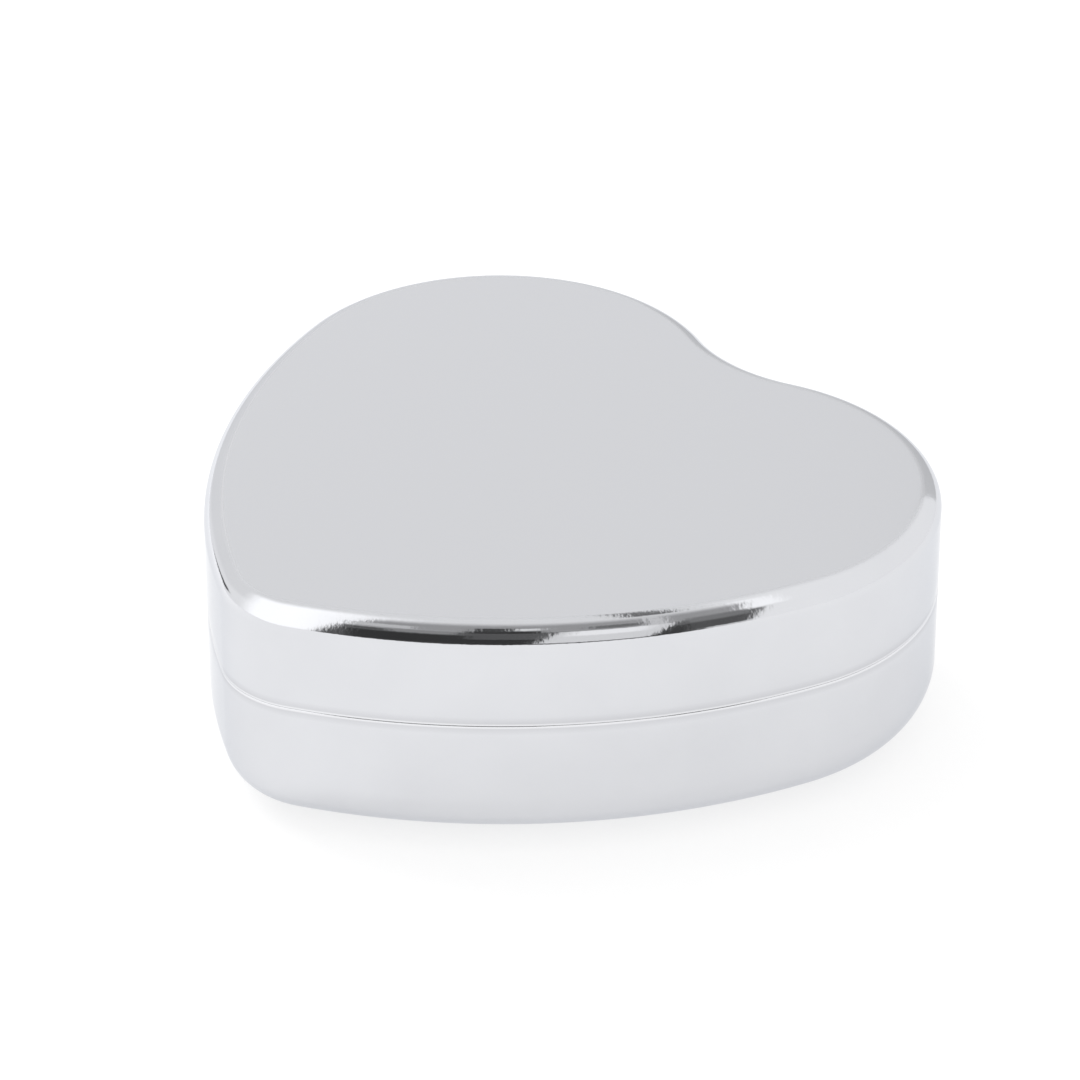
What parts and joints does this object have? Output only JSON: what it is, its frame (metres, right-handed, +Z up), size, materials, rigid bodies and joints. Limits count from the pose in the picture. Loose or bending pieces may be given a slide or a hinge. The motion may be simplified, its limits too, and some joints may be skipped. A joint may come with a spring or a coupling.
{
  "type": "wind-up music box",
  "caption": "Heart-shaped metal trinket box with a hinged lid, a lined tray and a wind-up comb-and-cylinder movement, wound by a folding key recessed in its base.",
  "frame": {"origin": "centre of the bounding box on the surface the box stands on", "axes": "+Z up, +Y from the heart's tip to its hinged cleft, +X across the two lobes"},
  "size_m": [0.1, 0.0948, 0.0331],
  "materials": {
    "silver_plate": "polished silver plate",
    "velvet": "flocked velvet",
    "felt": "pressed felt",
    "clear_plastic": "clear moulded plastic",
    "brass": "satin brass",
    "cast_zinc": "gilt die casting",
    "spring_steel": "ground spring steel",
    "turned_steel": "turned and nickel plated",
    "nylon": "moulded nylon"
  },
  "bodies": {
    "case": {"base_shell": "silver_plate", "base_rim_band": "silver_plate", "felt_pad": "felt", "key_well": "brass", "well_rivets": "turned_steel", "support_posts": "turned_steel", "post_screws": "turned_steel", "bedplate_screws": "turned_steel", "hinge_leaf_base": "silver_plate", "hinge_rivets_base": "silver_plate", "hinge_pin": "silver_plate", "insert_tray": "velvet", "tray_pad": "velvet", "movement_cover": "clear_plastic", "ring_roll_1": "velvet", "ring_roll_2": "velvet", "ring_roll_3": "velvet", "ring_roll_4": "velvet", "ring_roll_5": "velvet", "bedplate": "cast_zinc", "bearing_bracket_left": "cast_zinc", "bearing_bracket_right": "cast_zinc", "frame_screws": "turned_steel", "spring_barrel": "brass", "mainspring": "spring_steel", "governor_frame": "cast_zinc", "comb": "spring_steel", "comb_screws": "turned_steel", "stop_spring": "spring_steel"},
    "lid": {"lid_shell": "silver_plate", "hinge_leaf_lid": "silver_plate", "hinge_rivets_lid": "silver_plate", "lid_pad": "velvet", "lid_wall_lining": "velvet"},
    "winder": {"winding_arbor": "turned_steel", "crown_gear": "brass", "arbor_clip": "spring_steel", "key_stem": "brass"},
    "key_bail": {"key_bail": "brass"},
    "cylinder": {"cylinder_sleeve": "brass", "cylinder_caps": "brass", "cylinder_shaft": "turned_steel", "cylinder_pinion": "brass", "cylinder_wheel": "brass"},
    "governor_shaft": {"governor_pinion": "turned_steel", "worm_wheel": "nylon"},
    "flyer": {"worm": "turned_steel", "flyer_fan": "nylon"},
    "stop": {"stop_rod": "spring_steel"}
  },
  "joints": [
    {"name": "lid_hinge", "type": "hinge", "parent": "case", "child": "lid", "pos_m": [0, 0.04598, 0.0188], "axis": [-1, 0, 0], "range_deg": [0, 100]},
    {"name": "key_turn", "type": "hinge", "parent": "case", "child": "winder", "pos_m": [-0.004, 0.0094, 0], "axis": [0, 0, 1], "continuous": true},
    {"name": "key_bail_fold", "type": "hinge", "parent": "winder", "child": "key_bail", "pos_m": [-0.004, 0.0094, 0.0041], "axis": [0, 1, 0], "range_deg": [0, 180]},
    {"name": "cylinder_spin", "type": "hinge", "parent": "case", "child": "cylinder", "pos_m": [-0.004, 0.0094, 0.019], "axis": [1, 0, 0], "continuous": true},
    {"name": "governor_spin", "type": "hinge", "parent": "case", "child": "governor_shaft", "pos_m": [-0.004, 0.01826, 0.01524], "axis": [1, 0, 0], "continuous": true},
    {"name": "flyer_spin", "type": "hinge", "parent": "case", "child": "flyer", "pos_m": [0.0256, 0.0218, 0.0084], "axis": [0, 0, 1], "continuous": true},
    {"name": "stop_lift", "type": "slide", "parent": "case", "child": "stop", "axis": [0, 0, 1], "range_m": [0, 0.003], "deforming": ["stop_spring"]}
  ],
  "couplings": [
    {"joint": "cylinder_spin", "follows": "key_turn", "ratio": -3.2857},
    {"joint": "governor_spin", "follows": "key_turn", "ratio": 13.143},
    {"joint": "flyer_spin", "follows": "key_turn", "ratio": -184},
    {"joint": "stop_lift", "follows": "lid_hinge", "m_per_rad": 0.0017}
  ]
}
